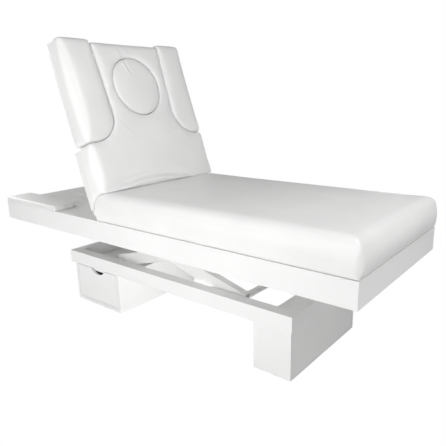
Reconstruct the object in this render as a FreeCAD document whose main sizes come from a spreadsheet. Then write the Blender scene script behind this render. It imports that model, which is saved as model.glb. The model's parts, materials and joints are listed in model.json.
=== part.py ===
import FreeCAD, Part
import math
import os
import Sketcher

# Electric spa bed: a board base on two cabinets, a scissor lift, a board frame and upholstered sections.
# X runs along the bed from the head end to the foot end, Y across it, and Z up from the floor.
# The origin lies on the floor under the middle of the bed. The backrest is modelled raised.

document = FreeCAD.newDocument("SpaBed")
sheet = document.addObject("Spreadsheet::Sheet", "Sizes")

SIZES = {
    # Upper frame
    "frame_length": 2094,
    "frame_width": 760,
    "foot_bulge": 11,
    "side_bulge": 9,
    "fascia_height": 97,
    "fascia_thickness": 18,
    "rest_height": 410,
    "deck_thickness": 18,
    "deck_slot_start": 420,
    "deck_slot_length": 220,
    "deck_slot_width": 22,
    "deck_slot_offset": 45,
    "chassis_height": 40,
    "chassis_width": 40,
    "chassis_wall": 2,
    "cross_tube_height": 30,
    "cross_tube_inset": 62,
    "tube_gap": 0.3,
    "cross_tube_gap": 35,
    # Base
    "base_setback": 417,
    "base_width": 552,
    "rail_length": 1388,
    "rail_height": 65,
    "rail_width": 52,
    "head_cross_width": 40,
    "foot_cross_width": 52,
    # Cabinets
    "cabinet_height": 200,
    "panel_thickness": 18,
    "head_cabinet_length": 351,
    "foot_cabinet_length": 170,
    "foot_cabinet_inset": 3,
    # Drawer
    "drawer_front_thickness": 12,
    "drawer_side_gap": 1.5,
    "drawer_top_gap": 3,
    "drawer_base_gap": 2,
    "drawer_board": 12,
    "drawer_depth": 440,
    "drawer_box_height": 120,
    "drawer_box_lift": 22,
    "drawer_floor": 6,
    "drawer_floor_groove": 8,
    "runner_thickness": 6,
    "runner_height": 35,
    "runner_length": 400,
    "runner_gap": 0.4,
    "runner_wall": 1.5,
    "cutout_width": 108,
    "cutout_depth": 27,
    "cutout_shift": 12,
    # Scissor lift
    "pivot_setback": 295,
    "pivot_lift": 38,
    "pivot_drop": 34,
    "arm_span": 813,
    "arm_height": 60,
    "arm_thickness": 34,
    "arm_wall": 3,
    "arm_end": 14,
    "arm_spacing": 4,
    "track_gap": 2,
    "track_depth": 12,
    "track_wall": 3,
    "track_length": 190,
    "track_overrun": 34,
    "roller_radius": 15,
    "roller_width": 8,
    "roller_gap": 1,
    "roller_play": 0.3,
    "axle_radius": 6,
    "shaft_radius": 10,
    "centre_pin_radius": 8,
    "pin_head_radius": 13,
    "pin_head_height": 3,
    "running_clearance": 0.05,
    "block_length": 60,
    "block_height": 46,
    "lift_cross_tube": 20,
    "lift_cross_raise": 15,
    # Lift motor and its lever
    "motor_tube_share": 0.72,
    "motor_pin_drop": 44,
    "motor_pin_setback": 21,
    "motor_offset": 60,
    "motor_pin_radius": 5,
    "bracket_plate": 5,
    "bracket_gap": 0.5,
    "bracket_eye": 13,
    "lug_width": 20,
    "housing_start": 22,
    "housing_length": 92,
    "housing_width": 64,
    "housing_height": 62,
    "motor_radius": 28,
    "motor_length": 118,
    "motor_drop": 60,
    "can_step": 2,
    "outer_tube_radius": 16,
    "rod_radius": 10,
    "rod_play": 0.1,
    "rod_engagement": 60,
    "rod_reserve": 30,
    "lift_lever_length": 160,
    "lift_lever_angle": 6,
    "lift_travel_out": 60,
    "lift_travel_in": 12,
    "lift_slot_play": 1,
    "lift_slot_rise": 2.4,
    "lever_plate": 6,
    "lever_pin_radius": 6,
    "lever_eye": 14,
    "rod_eye_wall": 6,
    # Seat
    "seat_board_thickness": 20,
    "seat_board_inset": 30,
    "deck_gap": 1,
    "board_gap": 0.3,
    "mattress_thickness": 130,
    "mattress_crown": 4,
    "mattress_head_drop": 47,
    "mattress_head_run": 70,
    "mattress_head_bow": 14,
    "mattress_edge_radius": 34,
    "mattress_base_radius": 5,
    "mattress_corner_radius": 38,
    # Hinge
    "hinge_setback": 809,
    "hinge_lead": 8,
    "leaf_thickness": 2.5,
    "knuckle_radius": 5,
    "hinge_pin_radius": 2.5,
    "leaf_height": 17,
    "hinge_width": 100,
    "hinge_offset": 230,
    "knuckle_gap": 0.4,
    # Backrest
    "backrest_raise": 71,
    "backrest_thickness": 132,
    "backrest_length": 715,
    "backrest_board_thickness": 18,
    "backrest_crown": 4,
    "crease_offset": 82,
    "crease_gap": 2.5,
    "crease_bow_share": 0.3,
    "backrest_tail": 28,
    "board_cover": 12,
    "shoulder_distance": 237,
    "neck_half_width": 192,
    "neck_flare_share": 0.058,
    "shoulder_radius_share": 0.745,
    "cushion_corner": 24,
    "cushion_edge": 20,
    "cushion_back_edge": 6,
    "cushion_swell": 3,
    # Face hole and plug
    "plug_distance": 496,
    "plug_radius": 145,
    "plug_gap": 1.5,
    "plug_crown": 5,
    "plug_rise_share": 0.75,
    "plug_edge": 10,
    "plug_board_thickness": 12,
    "plug_board_margin": 8,
    "face_bore_radius": 118,
    # Side cushions beside the backrest
    "strip_length": 490,
    "strip_gap": 1.5,
    "strip_plate": 4,
    "strip_plate_inset": 14,
    "strip_lift": 3,
    "strip_bar": 12,
    "strip_bar_height": 12,
    "strip_bar_end": 92,
    "strip_bar_inset": 80,
    "strip_bar_near": 330,
    "strip_bar_far": 665,
    "socket_size": 20,
    "socket_length": 100,
    "socket_height": 24,
    "socket_end": 90,
    # Backrest motor and its lever
    "backrest_lever_length": 65,
    "backrest_lever_angle": 31,
    "backrest_travel_out": 2,
    "backrest_travel_in": 80,
    "backrest_pin_radius": 6,
    "backrest_slot_play": 1.6,
    "backrest_slot_rise": 9.4,
    "backrest_eye": 11,
    "backrest_lever_slope": 23,
    "lever_foot_length": 84,
    "lever_foot_start": 12,
    "lever_foot_width": 70,
    "lever_foot_thickness": 4,
    "lever_slot_head": 112,
    "lever_slot_foot": 52,
    "lever_slot_width": 90,
    # Arm pads on the deck
    "pad_length": 478,
    "pad_width": 147,
    "pad_thickness": 22,
    "pad_edge": 8,
    "pad_corner": 60,
    "pad_crown": 0.5,
    # Control box
    "control_length": 180,
    "control_width": 110,
    "control_height": 45,
    "control_gap": 30,
    "control_edge": 6,
}
for row, (alias, size) in enumerate(SIZES.items(), start=1):
    sheet.set(f"A{row}", alias.replace("_", " "))
    sheet.set(f"B{row}", str(size))
    sheet.setAlias(f"B{row}", alias)
document.recompute()


class Term:
    """A length worked out from the sheet's cells, kept as text so that features stay bound to the cells."""

    def __init__(self, text):
        self.text = str(text)

    def __str__(self):
        return self.text

    def __add__(self, other):
        return Term(f"({self} + {other})")

    def __radd__(self, other):
        return Term(f"({other} + {self})")

    def __sub__(self, other):
        return Term(f"({self} - {other})")

    def __rsub__(self, other):
        return Term(f"({other} - {self})")

    def __mul__(self, other):
        return Term(f"({self} * {other})")

    def __rmul__(self, other):
        return Term(f"({other} * {self})")

    def __truediv__(self, other):
        return Term(f"({self} / {other})")

    def __neg__(self):
        return Term(f"(0 - {self})")

    def __float__(self):
        if self.text not in Term.known:
            Term.known[self.text] = float(sheet.evalExpression(self.text))
        return Term.known[self.text]

    known = {}


class Sizes:
    def __getattr__(self, alias):
        return Term(f"Sizes.{alias}")


def call(function, *terms):
    return Term(f"{function}({'; '.join(str(term) for term in terms)})")


def plain_angle(rise, run):
    """The angle whose tangent is rise / run, in degrees and without a unit."""
    return Term(f"(atan2({rise}; {run}) / 1 deg)")


size = Sizes()

# Levels and lines that several pieces share
half_width = size.frame_width / 2
head_x = -(size.frame_length + size.foot_bulge) / 2
foot_x = head_x + size.frame_length
deck_head = head_x + size.fascia_thickness
deck_foot = foot_x - size.fascia_thickness
deck_side = half_width - size.fascia_thickness
frame_bottom = size.rest_height
frame_top = size.rest_height + size.fascia_height
deck_under = frame_top - size.deck_thickness

rail_head = head_x + size.base_setback
rail_foot = rail_head + size.rail_length
rail_outer = size.base_width / 2
rail_inner = rail_outer - size.rail_width
rail_bottom = size.cabinet_height
rail_top = rail_bottom + size.rail_height

cabinet_head = rail_head + size.head_cross_width
cabinet_foot = cabinet_head + size.head_cabinet_length
leg_foot = rail_foot - size.foot_cabinet_inset
leg_head = leg_foot - size.foot_cabinet_length

# Scissor lift: both arm pairs are level with each other at their pivots and cross at mid-span
pivot_x = rail_head + size.pivot_setback
pivot_z = rail_bottom + size.pivot_lift
top_pivot_z = deck_under - size.pivot_drop
roller_x = pivot_x + size.arm_span
arm_rise = top_pivot_z - pivot_z
arm_angle = plain_angle(arm_rise, size.arm_span)
arm_length = call("sqrt", size.arm_span * size.arm_span + arm_rise * arm_rise)
outer_arm_face = rail_inner - size.track_depth - size.track_gap
outer_arm_inside = outer_arm_face - size.arm_thickness
inner_arm_face = outer_arm_inside - size.arm_spacing
inner_arm_inside = inner_arm_face - size.arm_thickness
roller_near = outer_arm_face + size.roller_gap
roller_far = roller_near + size.roller_width
block_face = rail_inner - size.track_depth

# Backrest: its pieces are drawn lying flat, with places measured from the hinge axis
hinge_x = head_x + size.hinge_setback
hinge_z = frame_top + size.seat_board_thickness
seat_board_end = size.knuckle_radius
backrest_back = size.deck_gap - size.seat_board_thickness
backrest_front = backrest_back + size.backrest_thickness
board_front = backrest_back + size.backrest_board_thickness
crease_x = -size.crease_offset
shoulder_x = crease_x - size.shoulder_distance
shoulder_radius = (half_width - size.neck_half_width) * size.shoulder_radius_share
backrest_top_x = crease_x - size.backrest_length
strip_top_x = shoulder_x - size.strip_gap - size.strip_length
plug_x = crease_x - size.plug_distance
mattress_head = hinge_x + size.hinge_lead
mattress_top = frame_top + size.mattress_thickness


class Frame:
    """An own set of axes: its origin lies at x, z and its X axis is turned about Y."""

    def __init__(self, x, z, angle):
        self.x = x
        self.z = z
        self.angle = angle


world = Frame(0, 0, None)
lying_backrest = Frame(hinge_x, hinge_z, size.backrest_raise)

nodes = {}
own_y = FreeCAD.Vector(0, 1, 0)
planes_facing_back = ("XZ",)
quarter_bow = 1 - math.sqrt(0.5)


def keep(name, piece):
    piece.Label = name
    nodes[name] = piece
    return piece


def bind(piece, place, term):
    piece.setExpression(place, str(term))


def put(piece, frame):
    """Sets the piece's placement to the frame, bound to the cells."""
    if frame.angle is not None:
        piece.Placement = FreeCAD.Placement(FreeCAD.Vector(), FreeCAD.Rotation(own_y, 1))
        bind(piece, "Placement.Rotation.Angle", f"{frame.angle} * 1 deg")
    bind(piece, "Placement.Base.x", frame.x)
    bind(piece, "Placement.Base.z", frame.z)
    return piece


def plain_board(x, y, z):
    """A square-edged board between two planes each way."""
    box = document.addObject("Part::Box", "Board")
    bind(box, "Length", Term(x[1]) - x[0])
    bind(box, "Width", Term(y[1]) - y[0])
    bind(box, "Height", Term(z[1]) - z[0])
    bind(box, "Placement.Base.x", x[0])
    bind(box, "Placement.Base.y", y[0])
    bind(box, "Placement.Base.z", z[0])
    return box


def board(name, x, y, z):
    return keep(name, plain_board(x, y, z))


def hold(sketch, kind, element, point, term):
    """Holds a point of the sketch at a distance from the origin along one axis."""
    if float(term) == 0:
        axis = -2 if kind == "DistanceX" else -1
        sketch.addConstraint(Sketcher.Constraint("PointOnObject", element, point, axis))
        return
    constraint = Sketcher.Constraint(kind, -1, 1, element, point, float(term))
    index = sketch.addConstraint(constraint)
    bind(sketch, f"Constraints[{index}]", term)


def draw_circle(sketch, first, second, radius):
    centre = FreeCAD.Vector(float(first), float(second), 0)
    circle = sketch.addGeometry(Part.Circle(centre, FreeCAD.Vector(0, 0, 1), float(radius)))
    index = sketch.addConstraint(Sketcher.Constraint("Radius", circle, float(radius)))
    bind(sketch, f"Constraints[{index}]", radius)
    hold(sketch, "DistanceX", circle, 3, first)
    hold(sketch, "DistanceY", circle, 3, second)


def arc_middle(start, end, bow):
    """The middle of the arc from start to end, and the kind of rule that holds the arc."""
    chord = end - start
    outward = FreeCAD.Vector(chord.y, -chord.x, 0).normalize()
    halfway = (start + end) / 2
    if not isinstance(bow, tuple):
        return halfway + outward * float(bow)
    about = float(bow[1])
    squares = (start.x - about) ** 2 + start.y ** 2 - (end.x - about) ** 2 - end.y ** 2
    centre = FreeCAD.Vector(about, squares / (2 * (start.y - end.y)), 0)
    return centre + outward * centre.distanceToPoint(start)


def draw_arc(sketch, corner, after):
    """Draws one arc; its bow is a height above the chord, or the place that its centre is held at."""
    start = FreeCAD.Vector(float(corner[0]), float(corner[1]), 0)
    end = FreeCAD.Vector(float(after[0]), float(after[1]), 0)
    bow = corner[2]
    arc = sketch.addGeometry(Part.Arc(start, arc_middle(start, end, bow), end))
    if isinstance(bow, tuple):
        hold(sketch, "DistanceX", arc, 3, bow[1])
    else:
        run = Term(after[0]) - corner[0]
        rise = Term(after[1]) - corner[1]
        depth = Term(f"abs({bow})")
        radius = (run * run + rise * rise + depth * depth * 4) / (depth * 8)
        index = sketch.addConstraint(Sketcher.Constraint("Radius", arc, float(radius)))
        bind(sketch, f"Constraints[{index}]", radius)
    from_first = sketch.getPoint(arc, 1).distanceToPoint(start)
    from_second = sketch.getPoint(arc, 2).distanceToPoint(start)
    return (arc, 1, 2) if from_first < from_second else (arc, 2, 1)


def draw_outline(sketch, corners):
    """Draws a closed outline. A corner's third value makes the side after it an arc."""
    drawn = []
    for place, corner in enumerate(corners):
        after = corners[(place + 1) % len(corners)]
        if len(corner) == 3:
            drawn.append(draw_arc(sketch, corner, after))
            continue
        start = FreeCAD.Vector(float(corner[0]), float(corner[1]), 0)
        end = FreeCAD.Vector(float(after[0]), float(after[1]), 0)
        drawn.append((sketch.addGeometry(Part.LineSegment(start, end)), 1, 2))
    for place, corner in enumerate(corners):
        side, start, end = drawn[place]
        after, after_start, _ = drawn[(place + 1) % len(drawn)]
        sketch.addConstraint(Sketcher.Constraint("Coincident", side, end, after, after_start))
        hold(sketch, "DistanceX", side, start, corner[0])
        hold(sketch, "DistanceY", side, start, corner[1])


def step(body, kind, plane, loops, span):
    """Adds a pad or a pocket with the loops as its outline, over the span across the plane."""
    low, high = Term(span[0]), Term(span[1])
    sketch = body.newObject("Sketcher::SketchObject", "Outline")
    role = f"{plane}_Plane"
    support = [feature for feature in body.Origin.OriginFeatures if feature.Role == role][0]
    sketch.AttachmentSupport = (support, [""])
    sketch.MapMode = "FlatFace"
    bind(sketch, "AttachmentOffset.Base.z", -high if plane in planes_facing_back else low)
    for loop in loops:
        if loop[0] == "circle":
            draw_circle(sketch, *loop[1:])
        else:
            draw_outline(sketch, loop)
    feature = body.newObject(f"PartDesign::{kind}", kind)
    feature.Profile = sketch
    if kind == "Revolution":
        feature.ReferenceAxis = (sketch, ["V_Axis"])
        return feature
    bind(feature, "Length", high - low)
    if kind == "Pocket":
        feature.Reversed = True
    return feature


def solid(steps, frame=world, name=None):
    """Builds one body from pads and pockets, each given as kind, plane, loops and span."""
    body = document.addObject("PartDesign::Body", "Piece")
    for kind, plane, loops, span in steps:
        step(body, kind, plane, loops, span)
    put(body, frame)
    if name:
        keep(name, body)
    return body


def group(name, pieces):
    """Keeps several loose solids of one kind in one node."""
    compound = document.addObject("Part::Compound", "Group")
    compound.Links = pieces
    return keep(name, compound)


def circle(first, second, radius):
    return ("circle", first, second, radius)


def rectangle(first, second):
    return [(first[0], second[0]), (first[1], second[0]), (first[1], second[1]), (first[0], second[1])]


def link(length, half):
    """The outline of a flat bar with round ends, from the origin along the first axis."""
    return [(0, -half), (length, -half, ("about", length)), (length, half), (0, half, ("about", 0))]


def mirrored(corners, axis):
    """The outline's mirror image across one axis, still running the same way round."""
    result = []
    for place in reversed(range(len(corners))):
        point = [corners[place][0], corners[place][1]]
        point[axis] = -Term(point[axis])
        result.append(tuple(point) + tuple(corners[place - 1][2:]))
    return result


def trim(plane, outline, surround, span):
    """A pocket that takes away all that lies outside the outline."""
    return ("Pocket", plane, [surround, outline], span)


def cushion_section(low_side, high_side, back, front, edge, back_edge, crown, swell):
    """A cushion's cross-section: crowned front, rounded edges and slightly full sides."""
    bend = edge * quarter_bow
    back_bend = back_edge * quarter_bow
    return [
        (low_side + back_edge, back),
        (high_side - back_edge, back, back_bend),
        (high_side, back + back_edge, swell),
        (high_side, front - edge, bend),
        (high_side - edge, front, crown),
        (low_side + edge, front, bend),
        (low_side, front - edge, swell),
        (low_side, back + back_edge, back_bend),
    ]


def sided(side, near, far):
    """A span across the bed on the left (1) or right (-1) side, from distances to the middle."""
    return (near, far) if side > 0 else (-Term(far), -Term(near))


sides = {"left": 1, "right": -1}


def base_frame():
    """Two rails joined by two cross rails, standing on the cabinets."""
    rail_z = (rail_bottom, rail_top)
    for label, side in sides.items():
        board(f"rail_{label}", (rail_head, rail_foot), sided(side, rail_inner, rail_outer), rail_z)
    across = (-rail_inner, rail_inner)
    board("cross_rail_head", (rail_head, cabinet_head), across, rail_z)
    board("cross_rail_foot", (rail_foot - size.foot_cross_width, rail_foot), across, rail_z)


def head_cabinet():
    """An open-fronted box of boards for the drawer, on the right side of the bed."""
    board_x = (cabinet_head + size.panel_thickness, cabinet_foot - size.panel_thickness)
    full_y = (-rail_outer, rail_outer)
    inner_y = (-rail_outer, rail_outer - size.panel_thickness)
    full_z = (0, size.cabinet_height)
    board("head_cabinet_end", (cabinet_head, board_x[0]), full_y, full_z)
    board("head_cabinet_inner", (board_x[1], cabinet_foot), full_y, full_z)
    board("head_cabinet_bottom", board_x, inner_y, (0, size.panel_thickness))
    top_front = -rail_outer + size.drawer_front_thickness + size.drawer_side_gap
    top_z = (size.cabinet_height - size.panel_thickness, size.cabinet_height)
    board("head_cabinet_top", board_x, (top_front, inner_y[1]), top_z)
    board("head_cabinet_back", board_x, (inner_y[1], rail_outer), full_z)


def drawer():
    """A drawer whose inset front has a half-moon finger cut-out in its top edge."""
    inner_x = (cabinet_head + size.panel_thickness, cabinet_foot - size.panel_thickness)
    front_x = (inner_x[0] + size.drawer_side_gap, inner_x[1] - size.drawer_side_gap)
    front_z = (size.panel_thickness + size.drawer_base_gap, size.cabinet_height - size.drawer_top_gap)
    middle = (inner_x[0] + inner_x[1]) / 2 + size.cutout_shift
    half = size.cutout_width / 2
    outline = [
        (front_x[0], front_z[0]),
        (front_x[1], front_z[0]),
        (front_x[1], front_z[1]),
        (middle + half, front_z[1], -size.cutout_depth),
        (middle - half, front_z[1]),
        (front_x[0], front_z[1]),
    ]
    front_back = -rail_outer + size.drawer_front_thickness
    solid([("Pad", "XZ", [outline], (-rail_outer, front_back))], name="drawer_front")
    runner_space = size.runner_thickness * 2 + size.runner_gap
    side_x = (inner_x[0] + runner_space, inner_x[1] - runner_space)
    box_x = (side_x[0] + size.drawer_board, side_x[1] - size.drawer_board)
    box_y = (front_back, front_back + size.drawer_depth)
    low = size.panel_thickness + size.drawer_box_lift
    box_z = (low, low + size.drawer_box_height)
    head_side = plain_board((side_x[0], box_x[0]), box_y, box_z)
    foot_side = plain_board((box_x[1], side_x[1]), box_y, box_z)
    back = plain_board(box_x, (box_y[1] - size.drawer_board, box_y[1]), box_z)
    group("drawer_box", [head_side, foot_side, back])
    floor_z = (low + size.drawer_floor_groove, low + size.drawer_floor_groove + size.drawer_floor)
    board("drawer_bottom", box_x, (box_y[0], box_y[1] - size.drawer_board), floor_z)
    middle_z = low + size.drawer_box_height / 2
    runner_z = (middle_z - size.runner_height / 2, middle_z + size.runner_height / 2)
    runner_y = (front_back + size.drawer_board, front_back + size.drawer_board + size.runner_length)
    fixed, moving = [], []
    for edge, inward, box_edge in ((inner_x[0], 1, side_x[0]), (inner_x[1], -1, side_x[1])):
        fixed_far = edge + inward * size.runner_thickness
        moving_far = box_edge - inward * size.runner_thickness
        fixed_x = (edge, fixed_far) if inward > 0 else (fixed_far, edge)
        moving_x = (moving_far, box_edge) if inward > 0 else (box_edge, moving_far)
        for store, label, runner_x in ((fixed, "fixed", fixed_x), (moving, "moving", moving_x)):
            store.append(runner(runner_x, runner_y, runner_z, inward if label == "fixed" else -inward))
    group("cabinet_runners", fixed)
    group("drawer_runners", moving)


def runner(x, y, z, opening):
    """A steel channel, open towards its mate."""
    lip = size.runner_wall
    if opening > 0:
        hollow_x = (x[0] + lip, x[1] + lip)
    else:
        hollow_x = (x[0] - lip, x[1] - lip)
    hollow = rectangle(hollow_x, (z[0] + lip, z[1] - lip))
    outer = rectangle(x, z)
    return solid([("Pad", "XZ", [outer], y), ("Pocket", "XZ", [hollow], y)])


def leg_cabinet():
    """A plain closed leg box at the foot end."""
    x = (leg_head, leg_foot)
    inner_x = (leg_head + size.panel_thickness, leg_foot - size.panel_thickness)
    inner_side = rail_outer - size.panel_thickness
    full_z = (0, size.cabinet_height)
    panels = [plain_board(x, sided(side, inner_side, rail_outer), full_z) for side in sides.values()]
    group("leg_cabinet_sides", panels)
    board("leg_cabinet_end", (inner_x[1], leg_foot), (-inner_side, inner_side), full_z)
    board("leg_cabinet_inner", (leg_head, inner_x[0]), (-inner_side, inner_side), full_z)
    top_z = (size.cabinet_height - size.panel_thickness, size.cabinet_height)
    board("leg_cabinet_top", inner_x, (-inner_side, inner_side), top_z)


def track(side, z):
    """A channel on the inner face of a rail, open towards the middle, for the rollers."""
    reach = size.roller_radius + size.roller_play
    lip = reach + size.track_wall
    inward = rail_inner - size.track_depth
    web = rail_inner - size.track_wall
    outline = [
        (side * inward, z - lip),
        (side * rail_inner, z - lip),
        (side * rail_inner, z + lip),
        (side * inward, z + lip),
        (side * inward, z + reach),
        (side * web, z + reach),
        (side * web, z - reach),
        (side * inward, z - reach),
    ]
    if side < 0:
        outline.reverse()
    track_foot = roller_x + size.track_overrun
    return solid([("Pad", "YZ", [outline], (track_foot - size.track_length, track_foot))])


def tracks_and_blocks():
    """Roller tracks and shaft blocks: the lower ones on the base, the upper ones on the chassis."""
    half_length = size.block_length / 2
    half_height = size.block_height / 2
    block_x = (pivot_x - half_length, pivot_x + half_length)
    for level, z in (("lower", pivot_z), ("upper", top_pivot_z)):
        group(f"{level}_tracks", [track(side, z) for side in sides.values()])
        blocks = []
        for side in sides.values():
            plate = rectangle(block_x, (z - half_height, z + half_height))
            bore = circle(pivot_x, z, size.shaft_radius + size.running_clearance)
            blocks.append(solid([("Pad", "XZ", [plate, bore], sided(side, block_face, rail_inner))]))
        group(f"{level}_pivot_blocks", blocks)


def arm(name, side, frame, near, far, middle_steps):
    """A rectangular steel tube with a bore for its shaft and a welded axle for its roller."""
    half = size.arm_height / 2
    hollow_half = half - size.arm_wall
    ends = (-size.arm_end, arm_length + size.arm_end)
    axle_end = rail_inner - size.track_wall - size.roller_play
    span = sided(side, near, far)
    hollow_span = sided(side, near + size.arm_wall, far - size.arm_wall)
    steps = [
        ("Pad", "XZ", [rectangle(ends, (-half, half))], span),
        ("Pocket", "XZ", [rectangle(ends, (-hollow_half, hollow_half))], hollow_span),
        ("Pocket", "XZ", [circle(0, 0, size.shaft_radius + size.running_clearance)], span),
        ("Pad", "XZ", [circle(arm_length, 0, size.axle_radius)], sided(side, far - size.arm_wall, axle_end)),
    ]
    solid(steps + middle_steps, frame, name)


def arms():
    """The inner pair rises to the foot end. The outer pair falls to it and carries the headed centre pins."""
    rising = Frame(pivot_x, pivot_z, -arm_angle)
    falling = Frame(pivot_x, top_pivot_z, arm_angle)
    pin = circle(arm_length / 2, 0, size.centre_pin_radius)
    pin_bore = circle(arm_length / 2, 0, size.centre_pin_radius + size.running_clearance)
    pin_head = circle(arm_length / 2, 0, size.pin_head_radius)
    pin_root = outer_arm_inside + size.arm_wall
    head_end = inner_arm_inside - size.pin_head_height
    for label, side in sides.items():
        arm(f"inner_arm_{label}", side, rising, inner_arm_inside, inner_arm_face, [
            ("Pocket", "XZ", [pin_bore], sided(side, inner_arm_inside, inner_arm_face)),
        ])
        arm(f"outer_arm_{label}", side, falling, outer_arm_inside, outer_arm_face, [
            ("Pad", "XZ", [pin], sided(side, inner_arm_inside, pin_root)),
            ("Pad", "XZ", [pin_head], sided(side, head_end, inner_arm_inside)),
        ])
    shaft_end = rail_inner - size.roller_play
    shaft_span = (-shaft_end, shaft_end)
    solid([("Pad", "XZ", [circle(pivot_x, pivot_z, size.shaft_radius)], shaft_span)], name="inner_arm_shaft")
    tube_half = size.lift_cross_tube / 2
    tube_inside = tube_half - size.arm_wall
    tube_x = arm_length + size.arm_end - tube_half
    outer = rectangle((tube_x - tube_half, tube_x + tube_half),
                      (size.lift_cross_raise - tube_half, size.lift_cross_raise + tube_half))
    inner = rectangle((tube_x - tube_inside, tube_x + tube_inside),
                      (size.lift_cross_raise - tube_inside, size.lift_cross_raise + tube_inside))
    across = (-outer_arm_inside, outer_arm_inside)
    solid([("Pad", "XZ", [outer, inner], across)], falling, "outer_arm_cross_tube")


def rollers():
    """Ball-bearing rollers on the arms' free ends."""
    for level, z in (("lower", pivot_z), ("upper", top_pivot_z)):
        pair = []
        for side in sides.values():
            tyre = circle(roller_x, z, size.roller_radius)
            bore = circle(roller_x, z, size.axle_radius + size.running_clearance)
            pair.append(solid([("Pad", "XZ", [tyre, bore], sided(side, roller_near, roller_far))]))
        group(f"{level}_rollers", pair)


def air_slot(middle_y):
    """A long slot with round ends in the deck, below the face hole of the lying backrest."""
    half = size.deck_slot_width / 2
    foot = hinge_x - size.deck_slot_start - half
    head = foot - size.deck_slot_length + half * 2
    return [
        (head, middle_y - half),
        (foot, middle_y - half, ("about", foot)),
        (foot, middle_y + half),
        (head, middle_y + half, ("about", head)),
    ]


def upper_frame():
    """Fascia boards round a deck board, on two steel tubes with cross tubes between them."""
    fascia_z = (frame_bottom, frame_top)
    for label, side in sides.items():
        board(f"fascia_{label}", (head_x, foot_x), sided(side, deck_side, half_width), fascia_z)
    board("fascia_head", (head_x, deck_head), (-deck_side, deck_side), fascia_z)
    board("fascia_foot", (deck_foot, foot_x), (-deck_side, deck_side), fascia_z)
    slot_x = (hinge_x - size.lever_slot_head, hinge_x + size.lever_slot_foot)
    slot_half = size.lever_slot_width / 2
    lever_slot = rectangle(slot_x, (-size.motor_offset - slot_half, -size.motor_offset + slot_half))
    outline = rectangle((deck_head, deck_foot), (-deck_side, deck_side))
    loops = [outline, lever_slot]
    for side in sides.values():
        loops.append(air_slot(side * size.deck_slot_offset))
    solid([("Pad", "XY", loops, (deck_under, frame_top))], name="deck_panel")
    tubes = []
    for side in sides.values():
        span = (deck_head + size.tube_gap, deck_foot - size.tube_gap)
        y = sided(side, rail_inner, rail_inner + size.chassis_width)
        z = (deck_under - size.chassis_height, deck_under)
        wall = size.chassis_wall
        hollow = rectangle((y[0] + wall, y[1] - wall), (z[0] + wall, z[1] - wall))
        tubes.append(solid([("Pad", "YZ", [rectangle(y, z), hollow], span)]))
    group("chassis_rails", tubes)
    half = size.cross_tube_height / 2
    inside = half - size.chassis_wall
    middle_z = deck_under - half
    cross_tubes = []
    for x in (head_x + size.cross_tube_inset, block_head - half, motor_tube_x, track_clear + half,
              foot_x - size.cross_tube_inset):
        outer = rectangle((x - half, x + half), (middle_z - half, middle_z + half))
        inner = rectangle((x - inside, x + inside), (middle_z - inside, middle_z + inside))
        cross_tubes.append(solid([("Pad", "XZ", [outer, inner], (-rail_inner, rail_inner))]))
    group("chassis_cross_tubes", cross_tubes)
    control_foot = block_head - size.cross_tube_height - size.control_gap
    control_x = (control_foot - size.control_length, control_foot)
    control_half = size.control_width / 2
    control_z = (deck_under - size.control_height, deck_under)
    edge = size.control_edge
    section = [
        (-control_half + edge, control_z[0]),
        (control_half - edge, control_z[0]),
        (control_half, control_z[0] + edge),
        (control_half, control_z[1]),
        (-control_half, control_z[1]),
        (-control_half, control_z[0] + edge),
    ]
    solid([("Pad", "YZ", [section], control_x)], name="control_box")


# Motors: a rear pin on a chassis bracket, a housing with its motor can, an outer tube and a sliding rod
block_head = pivot_x - size.block_length / 2 - size.cross_tube_gap
track_clear = roller_x + size.track_overrun + size.cross_tube_gap
motor_tube_x = pivot_x + size.arm_span * size.motor_tube_share
motor_pin_x = motor_tube_x - size.cross_tube_height / 2 - size.motor_pin_setback
motor_pin_z = deck_under - size.motor_pin_drop


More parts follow.
